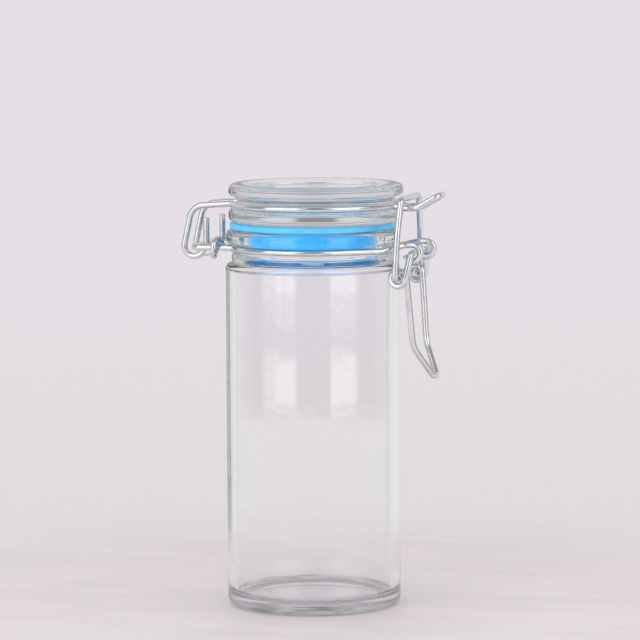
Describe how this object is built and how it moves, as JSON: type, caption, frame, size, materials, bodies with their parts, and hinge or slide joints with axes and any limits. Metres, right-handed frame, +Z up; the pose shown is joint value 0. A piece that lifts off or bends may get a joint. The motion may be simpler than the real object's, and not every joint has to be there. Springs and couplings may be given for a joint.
{
  "type": "clip-top glass jar",
  "caption": "Small cylindrical glass jar with a hinged glass lid, a silicone gasket and a bent wire clip that pulls the lid down.",
  "frame": {"origin": "on the jar's axis, at the plane it stands on", "axes": "+Z up, +X towards the clip, -X towards the hinge, +Y along the hinge bar and the clip's pivots"},
  "size_m": [0.0769, 0.05, 0.1216],
  "materials": {
    "clear_glass": "clear pressed glass, polished",
    "blue_silicone": "smooth satin silicone",
    "plated_wire": "bright plated steel wire"
  },
  "bodies": {
    "jar_body": {"jar": "clear_glass", "gasket": "blue_silicone", "neck_wire": "plated_wire", "collar_tie": "plated_wire"},
    "lid_set": {"lid": "clear_glass", "lid_wire": "plated_wire"},
    "lever_clip": {"lever": "plated_wire"},
    "bail_clip": {"tension_bail": "plated_wire"}
  },
  "joints": [
    {"name": "lid_hinge", "type": "hinge", "parent": "jar_body", "child": "lid_set", "pos_m": [-0.0331, 0, 0.1033], "axis": [0, -1, 0], "range_deg": [0, 110]},
    {"name": "lever_pivot", "type": "hinge", "parent": "jar_body", "child": "lever_clip", "pos_m": [0.0318, 0, 0.1027], "axis": [0, -1, 0], "range_deg": [0, 124]},
    {"name": "bail_pivot", "type": "hinge", "parent": "lever_clip", "child": "bail_clip", "pos_m": [0.0282, 0, 0.0955], "axis": [0, 1, 0], "range_deg": [0, 86.8]}
  ],
  "couplings": [
    {"joint": "bail_pivot", "follows": "lever_pivot", "ratio": 0.7}
  ]
}
